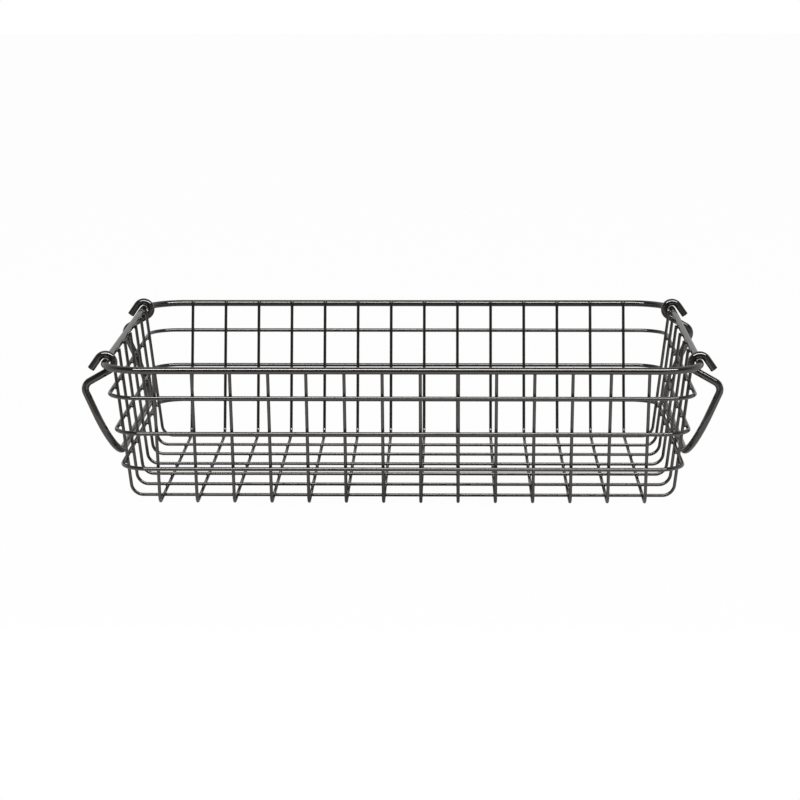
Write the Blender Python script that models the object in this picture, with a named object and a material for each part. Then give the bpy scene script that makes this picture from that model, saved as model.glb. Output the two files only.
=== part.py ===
"""Wire organizer basket with two hooked bail handles.

The basket is welded from bent steel wire: a thick rim, three hoops round the
outside, cross wires and long wires bent up at both ends, and a thick wire
handle hooked over each short side of the rim.

Lengths are in metres. X runs along the basket, Y across it, Z up. The origin
is under the middle of the floor, level with the underside of the cross wires.
"""

import math

import bpy
from mathutils import Vector

MM = 0.001

# Wire diameters
RIM_WIRE = 4.7 * MM
HOOP_WIRE = 2.7 * MM
MESH_WIRE = 2.2 * MM
HANDLE_WIRE = 4.9 * MM

# Space left between two wires that are welded to each other or touch
WELD_GAP = 0.3 * MM

# Rim, measured over the outside of its wire, and its corner at the wire's centre
RIM_LENGTH = 399.4 * MM
RIM_WIDTH = 292.8 * MM
RIM_TOP = 99.1 * MM
RIM_CORNER = 28.5 * MM

# How far the rim stands out past the floor at each end and along each side.
# The floor ends where the walls would meet it without their bend.
END_FLARE = 17.4 * MM
SIDE_FLARE = 33.5 * MM
FLOOR_LENGTH = RIM_LENGTH - 2 * END_FLARE
FLOOR_WIDTH = RIM_WIDTH - 2 * SIDE_FLARE
WALL_BEND = 8.0 * MM

# Cross wires run over the floor along Y, long wires lie on them along X.
# The edge is the distance from the outermost wire to the end of the floor.
CROSS_COUNT = 14
CROSS_EDGE = 19.8 * MM
LONG_COUNT = 7
LONG_EDGE = 13.7 * MM
TOP_RISE = 1.3 * MM

# Hoops round the outside of the walls
HOOP_COUNT = 3
HOOP_CORNER = 20.0 * MM
LOWEST_HOOP = 26.4 * MM
TOP_HOOP_BELOW_RIM = 19.6 * MM

# Handles: hook play is the slack between the inside of the hook and the rim,
# reach is from the rim's centre out to the shoulder, drop is down to the grip,
# and grip clearance is between the grip and the upright wires behind it
HOOK_PLAY = 0.85 * MM
HOOK_TAIL = 9.0 * MM
HOOK_INSET = 1.0 * MM
TAIL_ANGLE = math.radians(55.0)
ARM_ANGLE = math.radians(29.5)
SHOULDER_REACH = 15.5 * MM
SHOULDER_BEND = 6.0 * MM
GRIP_DROP = 65.7 * MM
GRIP_BEND = 34.0 * MM
GRIP_CLEARANCE = 1.6 * MM
HANDLE_SLIDE = 3.3 * MM

# Steps in each bend, and in a quarter of each wire's round section
FLOOR_BEND_STEPS = 6
CORNER_STEPS = 8
HOOK_STEPS = 13
SHOULDER_STEPS = 5
GRIP_STEPS = 9
THIN_SECTION_STEPS = 2
THICK_SECTION_STEPS = 4

# Heights of the wires' centres
RIM_Z = RIM_TOP - RIM_WIRE / 2
CROSS_Z = MESH_WIRE / 2
LONG_Z = CROSS_Z + MESH_WIRE + WELD_GAP

# Half sizes of the rim at its wire's centre
RIM_HALF_LENGTH = (RIM_LENGTH - RIM_WIRE) / 2
RIM_HALF_WIDTH = (RIM_WIDTH - RIM_WIRE) / 2

# Lacquered steel: colour, metallic, roughness
LACQUER_COLOUR = (0.045, 0.044, 0.043, 1.0)
LACQUER_METALLIC = 0.0
LACQUER_ROUGHNESS = 0.3


def clear_scene():
    for old in list(bpy.data.objects):
        bpy.data.objects.remove(old)


def lacquer(name):
    material = bpy.data.materials.new(name)
    material.use_nodes = True
    surface = material.node_tree.nodes["Principled BSDF"]
    surface.inputs["Base Color"].default_value = LACQUER_COLOUR
    surface.inputs["Metallic"].default_value = LACQUER_METALLIC
    surface.inputs["Roughness"].default_value = LACQUER_ROUGHNESS
    return material


def arc(centre, start, end, steps):
    """Points on the arc that turns the arm `start` into the arm `end`."""
    turn = start.angle(end)
    points = []
    for step in range(steps + 1):
        part = turn * step / steps
        arm = (start * math.sin(turn - part) + end * math.sin(part)) / math.sin(turn)
        points.append(centre + arm)
    return points


def bent(corners, radii, steps):
    """A path through the corners, with each inner corner bent to its radius."""
    path = [corners[0]]
    inner = zip(corners, corners[1:], corners[2:], radii, steps)
    for before, corner, after, radius, count in inner:
        back = (before - corner).normalized()
        ahead = (after - corner).normalized()
        half_angle = back.angle(ahead) / 2
        inset = radius / math.tan(half_angle)
        centre = corner + (back + ahead).normalized() * radius / math.sin(half_angle)
        start = corner + back * inset - centre
        end = corner + ahead * inset - centre
        path.extend(arc(centre, start, end, count))
    path.append(corners[-1])
    return path


def rounded_rectangle(half_length, half_width, radius):
    """Points anticlockwise round a level rectangle with round corners."""
    points = []
    for quarter in range(4):
        turn = quarter * math.pi / 2
        side_x = 1 if quarter in (0, 3) else -1
        side_y = 1 if quarter in (0, 1) else -1
        centre_x = side_x * (half_length - radius)
        centre_y = side_y * (half_width - radius)
        for step in range(CORNER_STEPS + 1):
            angle = turn + step * math.pi / 2 / CORNER_STEPS
            x = centre_x + radius * math.cos(angle)
            y = centre_y + radius * math.sin(angle)
            points.append(Vector((x, y, 0)))
    return points


def wire(name, collection, points, diameter, section_steps, closed=False):
    """A round wire along the points, with closed ends unless it is a ring."""
    curve = bpy.data.curves.new(name, "CURVE")
    curve.dimensions = "3D"
    curve.bevel_depth = diameter / 2
    curve.bevel_resolution = section_steps
    curve.render_resolution_u = 0
    curve.use_fill_caps = not closed
    spline = curve.splines.new("POLY")
    spline.points.add(len(points) - 1)
    spline.use_cyclic_u = closed
    sides = 2 * section_steps + 4
    for slot, point in zip(spline.points, points):
        slot.co = (*point, 1)
        slot.tilt = math.pi / sides
    curve.materials.append(lacquer(name + "_lacquer"))
    piece = bpy.data.objects.new(name, curve)
    collection.objects.link(piece)
    return piece


def wall_lean(floor_half, floor_z, rim_half):
    """The wall's angle from upright, so that its wires end inside the rim."""
    run = rim_half - floor_half
    rise = RIM_Z - floor_z
    standoff = RIM_WIRE / 2 + WELD_GAP + MESH_WIRE / 2
    return math.atan2(run, rise) - math.asin(standoff / math.hypot(run, rise))


END_LEAN = wall_lean(FLOOR_LENGTH / 2, LONG_Z, RIM_HALF_LENGTH)
SIDE_LEAN = wall_lean(FLOOR_WIDTH / 2, CROSS_Z, RIM_HALF_WIDTH)


def end_wall(z):
    """Distance along X from the middle to the long wires' centres at a height."""
    return FLOOR_LENGTH / 2 + (z - LONG_Z) * math.tan(END_LEAN)


def side_wall(z):
    """Distance along Y from the middle to the cross wires' centres at a height."""
    return FLOOR_WIDTH / 2 + (z - CROSS_Z) * math.tan(SIDE_LEAN)


def add_rim(collection):
    ring = rounded_rectangle(RIM_HALF_LENGTH, RIM_HALF_WIDTH, RIM_CORNER)
    rim = wire("rim", collection, ring, RIM_WIRE, THICK_SECTION_STEPS, closed=True)
    rim.location.z = RIM_Z


def add_hoops(collection):
    """Each hoop goes round the outside of all the upright wires."""
    highest = RIM_Z - TOP_HOOP_BELOW_RIM
    pitch = (highest - LOWEST_HOOP) / (HOOP_COUNT - 1)
    standoff = MESH_WIRE / 2 + WELD_GAP + HOOP_WIRE / 2
    for number in range(HOOP_COUNT):
        z = LOWEST_HOOP + number * pitch
        half_length = end_wall(z) + standoff / math.cos(END_LEAN)
        half_width = side_wall(z) + standoff / math.cos(SIDE_LEAN)
        ring = rounded_rectangle(half_length, half_width, HOOP_CORNER)
        name = f"hoop_{number + 1}"
        hoop = wire(name, collection, ring, HOOP_WIRE, THIN_SECTION_STEPS, closed=True)
        hoop.location.z = z


def add_cross_wires(collection):
    """Wires across the floor and up both long walls, inside the hoops."""
    top = RIM_Z + TOP_RISE
    corners = [
        Vector((0, -side_wall(top), top)),
        Vector((0, -side_wall(CROSS_Z), CROSS_Z)),
        Vector((0, side_wall(CROSS_Z), CROSS_Z)),
        Vector((0, side_wall(top), top)),
    ]
    path = bent(corners, [WALL_BEND] * 2, [FLOOR_BEND_STEPS] * 2)
    pitch = (FLOOR_LENGTH - 2 * CROSS_EDGE) / (CROSS_COUNT - 1)
    for number in range(CROSS_COUNT):
        name = f"cross_wire_{number + 1:02d}"
        piece = wire(name, collection, path, MESH_WIRE, THIN_SECTION_STEPS)
        piece.location.x = (number - (CROSS_COUNT - 1) / 2) * pitch


def add_long_wires(collection):
    """Wires along the floor, on top of the cross wires, and up both ends."""
    top = RIM_Z + TOP_RISE
    corners = [
        Vector((-end_wall(top), 0, top)),
        Vector((-end_wall(LONG_Z), 0, LONG_Z)),
        Vector((end_wall(LONG_Z), 0, LONG_Z)),
        Vector((end_wall(top), 0, top)),
    ]
    path = bent(corners, [WALL_BEND] * 2, [FLOOR_BEND_STEPS] * 2)
    pitch = (FLOOR_WIDTH - 2 * LONG_EDGE) / (LONG_COUNT - 1)
    for number in range(LONG_COUNT):
        name = f"long_wire_{number + 1}"
        piece = wire(name, collection, path, MESH_WIRE, THIN_SECTION_STEPS)
        piece.location.y = (number - (LONG_COUNT - 1) / 2) * pitch


def hook_profile():
    """The hook seen from the side, from its cut end to where the arm leaves it.

    The first number of each point is the distance out from the rim's centre
    and the second the height above it. The hook hangs on top of the rim.
    """
    radius = RIM_WIRE / 2 + HOOK_PLAY + HANDLE_WIRE / 2
    centre = Vector((0, WELD_GAP - HOOK_PLAY))
    first = math.pi / 2 - TAIL_ANGLE
    last = 3 * math.pi / 2 - ARM_ANGLE
    turned = []
    for step in range(HOOK_STEPS + 1):
        angle = first + (last - first) * step / HOOK_STEPS
        turned.append(centre + radius * Vector((math.cos(angle), math.sin(angle))))
    tail = Vector((math.cos(TAIL_ANGLE), -math.sin(TAIL_ANGLE)))
    return [turned[0] + tail * HOOK_TAIL] + turned


def add_handle(collection, name, side):
    """A handle on the short side of the rim, at -X or +X.

    Its origin is on the rim's centre line, which is the axis it swings round.
    """
    hook_half = RIM_HALF_WIDTH - RIM_CORNER - HOOK_INSET
    hook = hook_profile()
    arm_run = SHOULDER_REACH - hook[-1].x
    shoulder = Vector((SHOULDER_REACH, hook[-1].y - arm_run * math.tan(ARM_ANGLE)))
    standoff = MESH_WIRE / 2 + GRIP_CLEARANCE + HANDLE_WIRE / 2
    grip_x = end_wall(RIM_Z - GRIP_DROP) + standoff / math.cos(END_LEAN)
    grip = Vector((grip_x - RIM_HALF_LENGTH, -GRIP_DROP))

    def placed(point, y):
        return Vector((side * point.x, y, point.y))

    near = [placed(point, -hook_half) for point in hook]
    far = [placed(point, hook_half) for point in reversed(hook)]
    corners = [
        near[-1],
        placed(shoulder, -hook_half),
        placed(grip, -hook_half),
        placed(grip, hook_half),
        placed(shoulder, hook_half),
        far[0],
    ]
    radii = [SHOULDER_BEND, GRIP_BEND, GRIP_BEND, SHOULDER_BEND]
    steps = [SHOULDER_STEPS, GRIP_STEPS, GRIP_STEPS, SHOULDER_STEPS]
    path = near[:-1] + bent(corners, radii, steps) + far[1:]
    handle = wire(name, collection, path, HANDLE_WIRE, THICK_SECTION_STEPS)
    handle.location = (side * RIM_HALF_LENGTH, HANDLE_SLIDE, RIM_Z)


def build():
    clear_scene()
    collection = bpy.data.collections.new("wire_organizer_basket")
    bpy.context.scene.collection.children.link(collection)
    add_rim(collection)
    add_hoops(collection)
    add_cross_wires(collection)
    add_long_wires(collection)
    add_handle(collection, "handle_left", -1)
    add_handle(collection, "handle_right", 1)


build()
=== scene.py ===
import math

import bmesh
import bpy
from mathutils import Matrix, Vector


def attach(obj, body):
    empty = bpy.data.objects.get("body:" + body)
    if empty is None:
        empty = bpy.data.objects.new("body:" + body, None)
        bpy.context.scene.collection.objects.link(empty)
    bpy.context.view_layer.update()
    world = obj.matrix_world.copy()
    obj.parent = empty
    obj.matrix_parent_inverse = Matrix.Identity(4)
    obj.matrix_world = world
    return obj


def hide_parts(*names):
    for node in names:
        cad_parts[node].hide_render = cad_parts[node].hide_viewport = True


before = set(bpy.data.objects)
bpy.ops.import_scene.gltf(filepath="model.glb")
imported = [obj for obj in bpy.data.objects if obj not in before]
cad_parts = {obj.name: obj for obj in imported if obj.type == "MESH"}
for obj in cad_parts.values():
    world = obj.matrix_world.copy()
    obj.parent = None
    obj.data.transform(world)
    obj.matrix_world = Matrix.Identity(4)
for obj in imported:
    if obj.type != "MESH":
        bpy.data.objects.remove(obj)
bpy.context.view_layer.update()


# Rim. A ring of thick round steel wire that goes round the top of the basket.
# It is bent at its four corners and welded end to end, and the whole basket is
# dipped in a glossy lacquer, a warm near-black with a slight metallic sheen.
RIM_WIRE = 0.0047
RIM_LENGTH = 0.3994
RIM_WIDTH = 0.2928
RIM_CENTRE_HEIGHT = 0.09675
RIM_CORNER = 0.0285
RIM_CORNER_STEPS = 16
RIM_SECTION_STEPS = 14
SAME_PLACE = 0.00001
SMOOTH_ANGLE = math.radians(50)
CUT_END_ANGLE = math.radians(60)
CUT_END_STEPS = 3

LACQUER_COLOUR = (0.009, 0.0087, 0.0083, 1)
LACQUER_THIN_COLOUR = (0.014, 0.0134, 0.0127, 1)
LACQUER_ROUGHNESS = (0.05, 0.10)
LACQUER_IOR = 1.95
LACQUER_TINT = (1, 0.965, 0.92, 1)
PATCH_SIZE = 0.012
PATCH_DETAIL = 3
PATCH_RANGE = (0.3, 0.7)
PEEL_SIZE = 0.0016
PEEL_DETAIL = 2
PEEL_DEPTH = 0.000006


def select_none():
    """Deselects everything, so that the next operator acts on its piece alone."""
    for thing in bpy.context.selected_objects:
        thing.select_set(False)
    bpy.context.view_layer.objects.active = None


def draw_wire(name, thickness, section_steps, end_rounding=0.0):
    """Turns the active outline of edges into a round wire along it.

    The edges of its cut ends are rounded by end_rounding after the wire is
    shaded smooth, which keeps the shading even along its last stretch.
    """
    bpy.ops.object.convert(target="CURVE")
    path = bpy.context.object.data
    path.bevel_depth = thickness / 2
    path.bevel_resolution = section_steps
    path.use_fill_caps = True
    bpy.ops.object.convert(target="MESH")
    wire = bpy.context.object
    bpy.ops.object.mode_set(mode="EDIT")
    bpy.ops.mesh.select_all(action="SELECT")
    bpy.ops.mesh.remove_doubles(threshold=SAME_PLACE)
    bpy.ops.mesh.normals_make_consistent(inside=False)
    bpy.ops.object.mode_set(mode="OBJECT")
    bpy.ops.object.shade_smooth_by_angle(angle=SMOOTH_ANGLE)
    if end_rounding:
        cut_end = wire.modifiers.new("cut_end", "BEVEL")
        cut_end.width = end_rounding
        cut_end.segments = CUT_END_STEPS
        cut_end.limit_method = "ANGLE"
        cut_end.angle_limit = CUT_END_ANGLE
        cut_end.harden_normals = True
        bpy.ops.object.modifier_apply(modifier=cut_end.name)
    wire.name = name
    return wire


def black_lacquer(name):
    """Glossy lacquer, thinner and rougher in patches, with a fine orange peel."""
    material = bpy.data.materials.new(name)
    material.use_nodes = True
    nodes = material.node_tree.nodes
    links = material.node_tree.links
    surface = nodes["Principled BSDF"]
    surface.inputs["IOR"].default_value = LACQUER_IOR
    surface.inputs["Specular Tint"].default_value = LACQUER_TINT

    place = nodes.new("ShaderNodeTexCoord")
    patches = nodes.new("ShaderNodeTexNoise")
    patches.inputs["Scale"].default_value = 1 / PATCH_SIZE
    patches.inputs["Detail"].default_value = PATCH_DETAIL
    links.new(place.outputs["Object"], patches.inputs["Vector"])

    colour = nodes.new("ShaderNodeMix")
    colour.data_type = "RGBA"
    colour.inputs["A"].default_value = LACQUER_COLOUR
    colour.inputs["B"].default_value = LACQUER_THIN_COLOUR
    links.new(patches.outputs["Fac"], colour.inputs["Factor"])
    links.new(colour.outputs["Result"], surface.inputs["Base Color"])

    roughness = nodes.new("ShaderNodeMapRange")
    roughness.inputs["From Min"].default_value = PATCH_RANGE[0]
    roughness.inputs["From Max"].default_value = PATCH_RANGE[1]
    roughness.inputs["To Min"].default_value = LACQUER_ROUGHNESS[0]
    roughness.inputs["To Max"].default_value = LACQUER_ROUGHNESS[1]
    links.new(patches.outputs["Fac"], roughness.inputs["Value"])
    links.new(roughness.outputs["Result"], surface.inputs["Roughness"])

    peel = nodes.new("ShaderNodeTexNoise")
    peel.inputs["Scale"].default_value = 1 / PEEL_SIZE
    peel.inputs["Detail"].default_value = PEEL_DETAIL
    links.new(place.outputs["Object"], peel.inputs["Vector"])
    bump = nodes.new("ShaderNodeBump")
    bump.inputs["Distance"].default_value = PEEL_DEPTH
    links.new(peel.outputs["Fac"], bump.inputs["Height"])
    links.new(bump.outputs["Normal"], surface.inputs["Normal"])
    return material


def bend_ring(name, length, width, height, corner, corner_steps, thickness, section_steps):
    """Bends a level ring of wire from a rectangle whose corners are rounded."""
    select_none()
    bpy.ops.mesh.primitive_plane_add(size=1, location=(0, 0, height))
    bpy.ops.transform.resize(value=(length, width, 1))
    bpy.ops.object.transform_apply(location=True, rotation=True, scale=True)
    bpy.ops.object.mode_set(mode="EDIT")
    bpy.ops.mesh.select_all(action="SELECT")
    bpy.ops.mesh.bevel(offset=corner, segments=corner_steps, affect="VERTICES")
    bpy.ops.mesh.select_all(action="SELECT")
    bpy.ops.mesh.delete(type="ONLY_FACE")
    bpy.ops.object.mode_set(mode="OBJECT")
    return draw_wire(name, thickness, section_steps)


rim_lacquer = black_lacquer("rim_lacquer")
rim = bend_ring("rim_ring", RIM_LENGTH - RIM_WIRE, RIM_WIDTH - RIM_WIRE, RIM_CENTRE_HEIGHT,
                RIM_CORNER, RIM_CORNER_STEPS, RIM_WIRE, RIM_SECTION_STEPS)
rim.data.materials.append(rim_lacquer)
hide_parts("rim")
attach(rim, "basket")


# Cross wires. Fourteen thin wires, each bent up at both ends from the floor to
# make the long walls, which lean out, and welded to the inside of the rim a
# little below its top. The basket stands on them.
MESH_WIRE = 0.0022
WELD_GAP = 0.0003
FLOOR_LENGTH = 0.3646
FLOOR_WIDTH = 0.2258
WALL_BEND = 0.008
WALL_BEND_STEPS = 10
TOP_RISE = 0.0013
MESH_SECTION_STEPS = 7
END_ROUNDING = 0.0003
CROSS_COUNT = 14
CROSS_EDGE = 0.0198
CROSS_HEIGHT = MESH_WIRE / 2
CROSS_PITCH = (FLOOR_LENGTH - 2 * CROSS_EDGE) / (CROSS_COUNT - 1)


def pick_vertices(wanted):
    """In edit mode, selects only the vertices for which wanted(place) is true."""
    bpy.ops.mesh.select_mode(type="VERT")
    bpy.ops.mesh.select_all(action="DESELECT")
    shape = bmesh.from_edit_mesh(bpy.context.object.data)
    for vertex in shape.verts:
        vertex.select = wanted(vertex.co)
    shape.select_flush_mode()
    bmesh.update_edit_mesh(bpy.context.object.data)


def wall_lean(floor_half, floor_height, rim_half):
    """The wall's angle from upright that brings its wires to the rim's inside."""
    run = rim_half - floor_half
    rise = RIM_CENTRE_HEIGHT - floor_height
    standoff = RIM_WIRE / 2 + WELD_GAP + MESH_WIRE / 2
    return math.atan2(run, rise) - math.asin(standoff / math.hypot(run, rise))


def bend_tray_wire(name, floor_half, height, lean, along):
    """Bends a wire across the floor and up two walls, along X or along Y.

    It starts as a plane on edge, whose sides are leaned out, whose top is taken
    away and whose two low corners are rounded.
    """
    top = RIM_CENTRE_HEIGHT + TOP_RISE
    middle = (height + top) / 2
    axis = 0 if along == "X" else 1
    reach = floor_half + (top - height) * math.tan(lean)
    select_none()
    bpy.ops.mesh.primitive_plane_add(size=1, location=(0, 0, middle),
                                     rotation=(math.pi / 2, 0, axis * math.pi / 2))
    bpy.ops.object.transform_apply(location=True, rotation=True, scale=True)
    for corner in bpy.context.object.data.vertices:
        side = 1 if corner.co[axis] > 0 else -1
        high = corner.co.z > middle
        corner.co[axis] = side * (reach if high else floor_half)
        corner.co.z = top if high else height
    bpy.ops.object.mode_set(mode="EDIT")
    pick_vertices(lambda place: place.z > middle)
    bpy.ops.mesh.delete(type="EDGE_FACE")
    pick_vertices(lambda place: place.z < middle)
    inset = WALL_BEND * math.tan((math.pi / 2 - lean) / 2)
    bpy.ops.mesh.bevel(offset=inset, segments=WALL_BEND_STEPS, affect="VERTICES")
    bpy.ops.object.mode_set(mode="OBJECT")
    return draw_wire(name, MESH_WIRE, MESH_SECTION_STEPS, END_ROUNDING)


def copy_along(piece, name, shift):
    """A copy of the piece with a mesh of its own, moved within that mesh."""
    copy = piece.copy()
    copy.data = piece.data.copy()
    copy.name = name
    copy.data.transform(Matrix.Translation(shift))
    bpy.context.scene.collection.objects.link(copy)
    return copy


mesh_lacquer = black_lacquer("mesh_lacquer")
side_lean = wall_lean(FLOOR_WIDTH / 2, CROSS_HEIGHT, (RIM_WIDTH - RIM_WIRE) / 2)
cross_wire = bend_tray_wire("cross_wire_pattern", FLOOR_WIDTH / 2, CROSS_HEIGHT, side_lean, "Y")
cross_wire.data.materials.append(mesh_lacquer)
for number in range(CROSS_COUNT):
    x = (number - (CROSS_COUNT - 1) / 2) * CROSS_PITCH
    rod = copy_along(cross_wire, f"cross_rod_{number + 1:02d}", Vector((x, 0, 0)))
    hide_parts(f"cross_wire_{number + 1:02d}")
    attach(rod, "basket")
bpy.data.objects.remove(cross_wire)


# Long wires. Seven more of the same thin wire, laid along the floor on top of
# the cross wires and bent up at both ends to make the short walls, which lean
# out less. Each is welded to every cross wire and to the inside of the rim.
LONG_COUNT = 7
LONG_EDGE = 0.0137
LONG_HEIGHT = CROSS_HEIGHT + MESH_WIRE + WELD_GAP
LONG_PITCH = (FLOOR_WIDTH - 2 * LONG_EDGE) / (LONG_COUNT - 1)

end_lean = wall_lean(FLOOR_LENGTH / 2, LONG_HEIGHT, (RIM_LENGTH - RIM_WIRE) / 2)
long_wire = bend_tray_wire("long_wire_pattern", FLOOR_LENGTH / 2, LONG_HEIGHT, end_lean, "X")
long_wire.data.materials.append(mesh_lacquer)
for number in range(LONG_COUNT):
    y = (number - (LONG_COUNT - 1) / 2) * LONG_PITCH
    rod = copy_along(long_wire, f"long_rod_{number + 1}", Vector((0, y, 0)))
    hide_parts(f"long_wire_{number + 1}")
    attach(rod, "basket")
bpy.data.objects.remove(long_wire)


# Hoops. Three rings of middling wire round the outside of the walls, evenly
# spaced from a quarter of the way up and welded to every upright.
HOOP_WIRE = 0.0027
HOOP_CORNER = 0.020
HOOP_CORNER_STEPS = 12
HOOP_SECTION_STEPS = 9
HOOP_HEIGHTS = (0.0264, 0.051775, 0.07715)


def end_wall(height):
    """Distance along X from the middle to the long wires' centres at a height."""
    return FLOOR_LENGTH / 2 + (height - LONG_HEIGHT) * math.tan(end_lean)


def side_wall(height):
    """Distance along Y from the middle to the cross wires' centres at a height."""
    return FLOOR_WIDTH / 2 + (height - CROSS_HEIGHT) * math.tan(side_lean)


hoop_lacquer = black_lacquer("hoop_lacquer")
hoop_standoff = MESH_WIRE / 2 + WELD_GAP + HOOP_WIRE / 2
for number, height in enumerate(HOOP_HEIGHTS):
    half_length = end_wall(height) + hoop_standoff / math.cos(end_lean)
    half_width = side_wall(height) + hoop_standoff / math.cos(side_lean)
    hoop = bend_ring(f"hoop_ring_{number + 1}", 2 * half_length, 2 * half_width, height,
                     HOOP_CORNER, HOOP_CORNER_STEPS, HOOP_WIRE, HOOP_SECTION_STEPS)
    hoop.data.materials.append(hoop_lacquer)
    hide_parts(f"hoop_{number + 1}")
    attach(hoop, "basket")


# Welds. A small flattened bead of steel at every crossing of two wires, left by
# spot welding and lacquered over. The beads are modelled once and repeated in
# rows: on the floor, where the hoops meet the walls, and under the rim.
BEAD_SPREAD = 0.00125
BEAD_DEPTH = 0.00085
BEAD_SEGMENTS = 8
BEAD_RINGS = 6
RIM_BEAD_SPREAD = 0.0016


def bead_rows(name, place, spread, out, x_count, y_count, mirrored=""):
    """Lays beads in rows along X and Y from the given place, all in one mesh.

    Each bead is flattened along out. With mirrored, an axis, the rows are
    repeated on the other side of the basket.
    """
    select_none()
    bpy.ops.mesh.primitive_uv_sphere_add(segments=BEAD_SEGMENTS, ring_count=BEAD_RINGS, radius=1)
    beads = bpy.context.object
    beads.name = name
    squeeze = Matrix.Diagonal((spread, spread, BEAD_DEPTH, 1))
    turn = Vector((0, 0, 1)).rotation_difference(out).to_matrix().to_4x4()
    beads.data.transform(Matrix.Translation(place) @ turn @ squeeze)
    for count, offset in ((x_count, (CROSS_PITCH, 0, 0)), (y_count, (0, LONG_PITCH, 0))):
        if count > 1:
            row = beads.modifiers.new("row", "ARRAY")
            row.count = count
            row.use_relative_offset = False
            row.use_constant_offset = True
            row.constant_offset_displace = offset
            bpy.ops.object.modifier_apply(modifier=row.name)
    if mirrored:
        twin = beads.modifiers.new("other_side", "MIRROR")
        twin.use_axis = (mirrored == "X", mirrored == "Y", False)
        bpy.ops.object.modifier_apply(modifier=twin.name)
    bpy.ops.object.shade_smooth()
    return beads


def join_beads(name, rows, material):
    """Joins rows of beads into one piece of the given material."""
    select_none()
    for row in rows:
        row.select_set(True)
    bpy.context.view_layer.objects.active = rows[0]
    bpy.ops.object.join()
    beads = bpy.context.object
    beads.name = name
    bpy.ops.object.transform_apply(location=True, rotation=True, scale=True)
    beads.data.materials.append(material)
    return beads


first_x = -(CROSS_COUNT - 1) / 2 * CROSS_PITCH
first_y = -(LONG_COUNT - 1) / 2 * LONG_PITCH
side_out = Vector((0, -math.cos(side_lean), -math.sin(side_lean)))
end_out = Vector((-math.cos(end_lean), 0, -math.sin(end_lean)))

place = Vector((first_x, first_y, (CROSS_HEIGHT + LONG_HEIGHT) / 2))
floor_row = bead_rows("floor_beads", place, BEAD_SPREAD, Vector((0, 0, 1)),
                      CROSS_COUNT, LONG_COUNT)
floor_welds = join_beads("floor_welds", [floor_row], mesh_lacquer)

to_hoop = (MESH_WIRE + WELD_GAP) / 2
hoop_rows = []
for height in HOOP_HEIGHTS:
    place = Vector((first_x, -side_wall(height), height)) + side_out * to_hoop
    hoop_rows.append(bead_rows("side_beads", place, BEAD_SPREAD, side_out, CROSS_COUNT, 1, "Y"))
    place = Vector((-end_wall(height), first_y, height)) + end_out * to_hoop
    hoop_rows.append(bead_rows("end_beads", place, BEAD_SPREAD, end_out, 1, LONG_COUNT, "X"))
hoop_welds = join_beads("hoop_welds", hoop_rows, hoop_lacquer)

to_rim = (RIM_WIRE + WELD_GAP) / 2
place = Vector((first_x, -(RIM_WIDTH - RIM_WIRE) / 2, RIM_CENTRE_HEIGHT)) - side_out * to_rim
side_row = bead_rows("side_rim_beads", place, RIM_BEAD_SPREAD, side_out, CROSS_COUNT, 1, "Y")
place = Vector((-(RIM_LENGTH - RIM_WIRE) / 2, first_y, RIM_CENTRE_HEIGHT)) - end_out * to_rim
end_row = bead_rows("end_rim_beads", place, RIM_BEAD_SPREAD, end_out, 1, LONG_COUNT, "X")
rim_welds = join_beads("rim_welds", [side_row, end_row], rim_lacquer)
for welds, lacquer in ((floor_welds, "mesh_lacquer"), (hoop_welds, "hoop_lacquer"),
                       (rim_welds, "rim_lacquer")):
    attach(welds, "basket")


# Handles. A bail of thick wire on each short side. Both its ends are curled over
# the rim into open hooks, it reaches out and down to a shoulder and comes back in
# to a straight grip beside the wall. It is cut off square and swings on the rim.
HANDLE_WIRE = 0.0049
HANDLE_SECTION_STEPS = 14
HOOK_PLAY = 0.00085
HOOK_TAIL = 0.009
HOOK_INSET = 0.001
HOOK_STEPS = 40
TAIL_ANGLE = math.radians(55)
ARM_ANGLE = math.radians(29.5)
SHOULDER_REACH = 0.0155
SHOULDER_BEND = 0.006
SHOULDER_STEPS = 14
GRIP_DROP = 0.0657
GRIP_BEND = 0.034
GRIP_STEPS = 24
GRIP_CLEARANCE = 0.0016
HANDLE_SLIDE = 0.0033
HANDLE_END_ROUNDING = 0.00045
SEED_SIZE = 0.001


def step_to(place):
    """Extrudes the one selected vertex to a place."""
    shape = bmesh.from_edit_mesh(bpy.context.object.data)
    here = next(vertex.co.copy() for vertex in shape.verts if vertex.select)
    bpy.ops.mesh.extrude_region_move(TRANSFORM_OT_translate={"value": place - here})


def bend_corner(place, radius, before, after, steps):
    """Bends the path at a corner between the points before and after it."""
    pick_vertices(lambda spot: (spot - place).length < SAME_PLACE)
    half_angle = (before - place).angle(after - place) / 2
    bpy.ops.mesh.bevel(offset=radius / math.tan(half_angle), segments=steps, affect="VERTICES")


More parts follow.
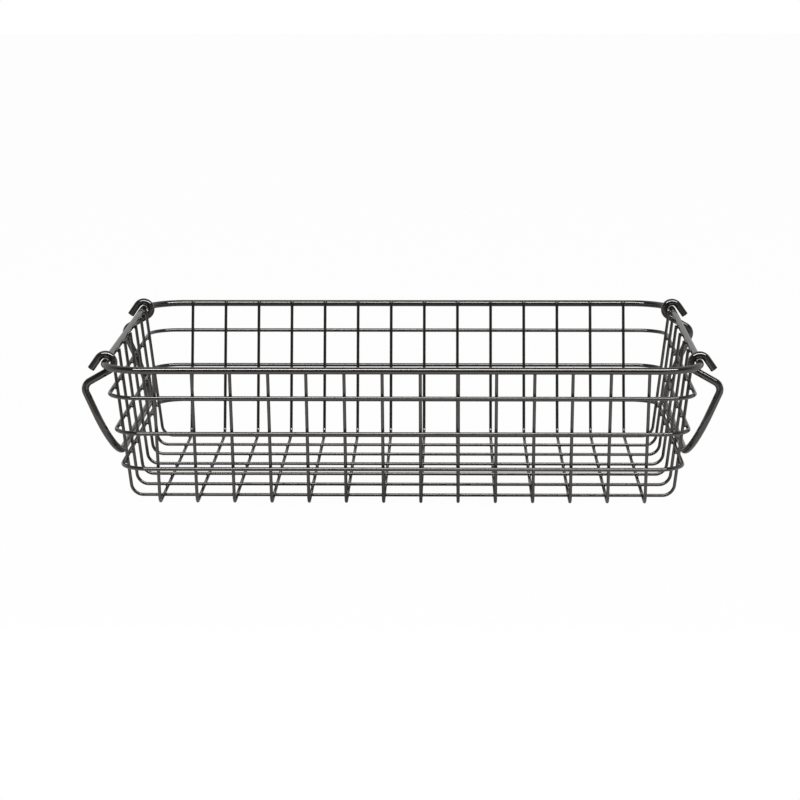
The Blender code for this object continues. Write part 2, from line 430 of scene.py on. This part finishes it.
def bend_handle(name, side):
    """Bends the handle of one side, -1 for left and 1 for right.

    Half of it is stepped out from the hook's tail, bent at its two corners and
    mirrored, with the rim's centre line at the origin. Then it is moved onto the
    rim and drawn as a wire.
    """
    hook_half = (RIM_WIDTH - RIM_WIRE) / 2 - RIM_CORNER - HOOK_INSET
    hook_radius = RIM_WIRE / 2 + HOOK_PLAY + HANDLE_WIRE / 2
    hook_centre = Vector((0, -hook_half, WELD_GAP - HOOK_PLAY))
    start = math.pi / 2 - TAIL_ANGLE
    sweep = math.pi + TAIL_ANGLE - ARM_ANGLE
    end = start + sweep
    first = hook_centre + hook_radius * Vector((math.cos(start), 0, math.sin(start)))
    last = hook_centre + hook_radius * Vector((math.cos(end), 0, math.sin(end)))
    tail = first + HOOK_TAIL * Vector((math.cos(TAIL_ANGLE), 0, -math.sin(TAIL_ANGLE)))
    drop = (SHOULDER_REACH - last.x) * math.tan(ARM_ANGLE)
    shoulder = Vector((SHOULDER_REACH, -hook_half, last.z - drop))
    standoff = MESH_WIRE / 2 + GRIP_CLEARANCE + HANDLE_WIRE / 2
    grip_reach = end_wall(RIM_CENTRE_HEIGHT - GRIP_DROP) + standoff / math.cos(end_lean)
    corner = Vector((grip_reach - (RIM_LENGTH - RIM_WIRE) / 2, -hook_half, -GRIP_DROP))
    middle = Vector((corner.x, 0, corner.z))

    select_none()
    bpy.ops.mesh.primitive_plane_add(size=SEED_SIZE, location=(0, 0, 0))
    bpy.ops.object.mode_set(mode="EDIT")
    bpy.ops.mesh.select_all(action="SELECT")
    bpy.ops.mesh.merge(type="CENTER")
    bpy.ops.transform.translate(value=tail)
    step_to(first)
    bpy.ops.mesh.spin(steps=HOOK_STEPS, angle=sweep, center=hook_centre, axis=(0, 1, 0))
    step_to(shoulder)
    step_to(corner)
    step_to(middle)
    bend_corner(shoulder, SHOULDER_BEND, last, corner, SHOULDER_STEPS)
    bend_corner(corner, GRIP_BEND, shoulder, middle, GRIP_STEPS)
    bpy.ops.object.mode_set(mode="OBJECT")
    handle = bpy.context.object
    twin = handle.modifiers.new("other_half", "MIRROR")
    twin.use_axis = (False, True, False)
    bpy.ops.object.modifier_apply(modifier=twin.name)
    place = Vector((side * (RIM_LENGTH - RIM_WIRE) / 2, HANDLE_SLIDE, RIM_CENTRE_HEIGHT))
    handle.data.transform(Matrix.Translation(place) @ Matrix.Diagonal((side, 1, 1, 1)))
    return draw_wire(name, HANDLE_WIRE, HANDLE_SECTION_STEPS, HANDLE_END_ROUNDING)


handle_lacquer = black_lacquer("handle_lacquer")
for side, word in ((-1, "left"), (1, "right")):
    bail = bend_handle(f"bail_{word}", side)
    bail.data.materials.append(handle_lacquer)
    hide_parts(f"handle_{word}")
    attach(bail, f"{word}_handle")


# Floor. A plain white studio table whose front edge lies a little ahead of the
# basket. The camera sees it almost pure white, with a faint trace of the
# basket's shadow, partly real and partly painted. The lacquer mirrors it greyer,
# and darkest under the basket, where a dark oval of painted shade is laid on the
# table's colour to stand in for the basket's shadow.
TABLE_SIZE = 6
TABLE_FRONT = -0.42
TABLE_COLOUR = (0.57, 0.57, 0.57, 1)
TABLE_GLOW = 1.0
TABLE_WHITENESS = 0.98
TABLE_MIRRORED = 0.1
# Colour, size and soft edge of the dark oval of painted shade under the basket.
PAINTED_SHADE_COLOUR = (0.15, 0.15, 0.15, 1)
PAINTED_SHADE_SPREAD = (0.40, 0.26, 1)
PAINTED_SHADE_EDGES = (0.4, 0.6)


def soft_step(nodes, edges, values):
    """A node that leads smoothly from one value to another between two edges."""
    step = nodes.new("ShaderNodeMapRange")
    step.interpolation_type = "SMOOTHSTEP"
    step.inputs["From Min"].default_value, step.inputs["From Max"].default_value = edges
    step.inputs["To Min"].default_value, step.inputs["To Max"].default_value = values
    return step


select_none()
bpy.ops.mesh.primitive_plane_add(size=TABLE_SIZE, location=(0, TABLE_FRONT + TABLE_SIZE / 2, 0))
bpy.ops.object.transform_apply(location=True)
floor = bpy.context.object
floor.name = "floor"
paper = bpy.data.materials.new("white_table")
paper.use_nodes = True
nodes = paper.node_tree.nodes
links = paper.node_tree.links
nodes.remove(nodes["Principled BSDF"])
matt = nodes.new("ShaderNodeBsdfDiffuse")
# Painted shade: a dark oval under the basket, blended into the table's colour, so that the
# lacquer mirrors the table darkest there, as if in the basket's shadow.
spot = nodes.new("ShaderNodeTexCoord")
spread = nodes.new("ShaderNodeVectorMath")
spread.operation = "DIVIDE"
spread.inputs[1].default_value = PAINTED_SHADE_SPREAD
links.new(spot.outputs["Object"], spread.inputs[0])
painted_shade_oval = nodes.new("ShaderNodeTexGradient")
painted_shade_oval.gradient_type = "SPHERICAL"
links.new(spread.outputs["Vector"], painted_shade_oval.inputs["Vector"])
painted_shade = soft_step(nodes, PAINTED_SHADE_EDGES, (0, 1))
links.new(painted_shade_oval.outputs["Fac"], painted_shade.inputs["Value"])
table_with_painted_shade = nodes.new("ShaderNodeMix")
table_with_painted_shade.data_type = "RGBA"
table_with_painted_shade.inputs["A"].default_value = TABLE_COLOUR
table_with_painted_shade.inputs["B"].default_value = PAINTED_SHADE_COLOUR
links.new(painted_shade.outputs["Result"], table_with_painted_shade.inputs["Factor"])
links.new(table_with_painted_shade.outputs["Result"], matt.inputs["Color"])

glow = nodes.new("ShaderNodeEmission")
glow.inputs["Strength"].default_value = TABLE_GLOW
seen = nodes.new("ShaderNodeLightPath")
mirrored = nodes.new("ShaderNodeMath")
mirrored.operation = "MULTIPLY"
mirrored.inputs[1].default_value = TABLE_MIRRORED
links.new(seen.outputs["Is Glossy Ray"], mirrored.inputs[0])
share = nodes.new("ShaderNodeMath")
share.operation = "MULTIPLY_ADD"
share.inputs[1].default_value = TABLE_WHITENESS
links.new(seen.outputs["Is Camera Ray"], share.inputs[0])
links.new(mirrored.outputs[0], share.inputs[2])
blend = nodes.new("ShaderNodeMixShader")
links.new(share.outputs[0], blend.inputs["Fac"])
links.new(matt.outputs["BSDF"], blend.inputs[1])
links.new(glow.outputs["Emission"], blend.inputs[2])
links.new(blend.outputs["Shader"], nodes["Material Output"].inputs["Surface"])
floor.data.materials.append(paper)


# Studio. A pale backdrop behind the basket that darkens round its sides to the
# unlit room round the camera, which is what the lacquer's dark bands mirror. Low
# pale boards on both sides lighten the legs of the handles.
WORLD_AMBIENT = 0.12
BACKDROP_SEEN = 1.0
BACKDROP_MIRRORED = 0.5
ROOM_MIRRORED = 0.015
ROOM_EDGE = -0.35
BACKDROP_EDGE = 0.6
BOARD_MIRRORED = 0.3
BOARD_EDGES = (0.15, 0.4)
BOARD_TOPS = (0.15, 0.3)

world = bpy.data.worlds.new("studio")
bpy.context.scene.world = world
world.use_nodes = True
nodes = world.node_tree.nodes
links = world.node_tree.links
sky = nodes["Background"]
direction = nodes.new("ShaderNodeTexCoord")
parts = nodes.new("ShaderNodeSeparateXYZ")
links.new(direction.outputs["Generated"], parts.inputs["Vector"])
behind = soft_step(nodes, (ROOM_EDGE, BACKDROP_EDGE), (ROOM_MIRRORED, BACKDROP_MIRRORED))
links.new(parts.outputs["Y"], behind.inputs["Value"])

sideways = nodes.new("ShaderNodeMath")
sideways.operation = "ABSOLUTE"
links.new(parts.outputs["X"], sideways.inputs[0])
boards = soft_step(nodes, BOARD_EDGES, (0, BOARD_MIRRORED))
links.new(sideways.outputs[0], boards.inputs["Value"])
low_down = soft_step(nodes, BOARD_TOPS, (1, 0))
links.new(parts.outputs["Z"], low_down.inputs["Value"])
around = nodes.new("ShaderNodeMath")
around.operation = "MULTIPLY_ADD"
links.new(boards.outputs["Result"], around.inputs[0])
links.new(low_down.outputs["Result"], around.inputs[1])
links.new(behind.outputs["Result"], around.inputs[2])

path = nodes.new("ShaderNodeLightPath")
ambient = nodes.new("ShaderNodeMix")
ambient.inputs["A"].default_value = WORLD_AMBIENT
links.new(path.outputs["Is Glossy Ray"], ambient.inputs["Factor"])
links.new(around.outputs[0], ambient.inputs["B"])
backdrop = nodes.new("ShaderNodeMix")
backdrop.inputs["B"].default_value = BACKDROP_SEEN
links.new(path.outputs["Is Camera Ray"], backdrop.inputs["Factor"])
links.new(ambient.outputs["Result"], backdrop.inputs["A"])
links.new(backdrop.outputs["Result"], sky.inputs["Strength"])
sky.inputs["Color"].default_value = (1, 1, 1, 1)


# Soft light. One long, narrow soft box high in front of the basket, which draws
# the bright line along the top of every wire that runs from side to side.
SOFT_BOX_PLACE = Vector((0.2, -1.15, 1.52))
SOFT_BOX_AIM = Vector((0, 0, 0.05))
SOFT_BOX_SIZE = (2.6, 0.4)
SOFT_BOX_POWER = 52

lamp = bpy.data.lights.new("soft_box", "AREA")
lamp.shape = "RECTANGLE"
lamp.size, lamp.size_y = SOFT_BOX_SIZE
lamp.energy = SOFT_BOX_POWER
soft_box = bpy.data.objects.new("soft_box", lamp)
bpy.context.scene.collection.objects.link(soft_box)
soft_box.location = SOFT_BOX_PLACE
shine = SOFT_BOX_AIM - SOFT_BOX_PLACE
soft_box.rotation_euler = shine.to_track_quat("-Z", "Y").to_euler()


# Camera. A long lens a little above the rim, nearly square to the long side. It
# looks slightly down on the basket from just right of its middle.
CAMERA_PLACE = Vector((0.0321, -1.8789, 0.4108))
CAMERA_PITCH = 0.1898
CAMERA_TURN = -0.0189
CAMERA_ROLL = -0.0022
CAMERA_LENS = 121.64
CAMERA_SENSOR = 36

camera = bpy.data.objects.new("camera", bpy.data.cameras.new("camera"))
bpy.context.scene.collection.objects.link(camera)
camera.data.lens = CAMERA_LENS
camera.data.sensor_width = CAMERA_SENSOR
ahead = Vector((math.sin(CAMERA_TURN) * math.cos(CAMERA_PITCH),
                math.cos(CAMERA_TURN) * math.cos(CAMERA_PITCH), -math.sin(CAMERA_PITCH)))
level = Vector((math.cos(CAMERA_TURN), -math.sin(CAMERA_TURN), 0))
upward = level.cross(ahead)
right = math.cos(CAMERA_ROLL) * level + math.sin(CAMERA_ROLL) * upward
above = right.cross(ahead)
turned = Matrix((right, above, -ahead)).transposed().to_4x4()
camera.matrix_world = Matrix.Translation(CAMERA_PLACE) @ turned
bpy.context.scene.camera = camera

bpy.context.scene.view_settings.view_transform = "Standard"
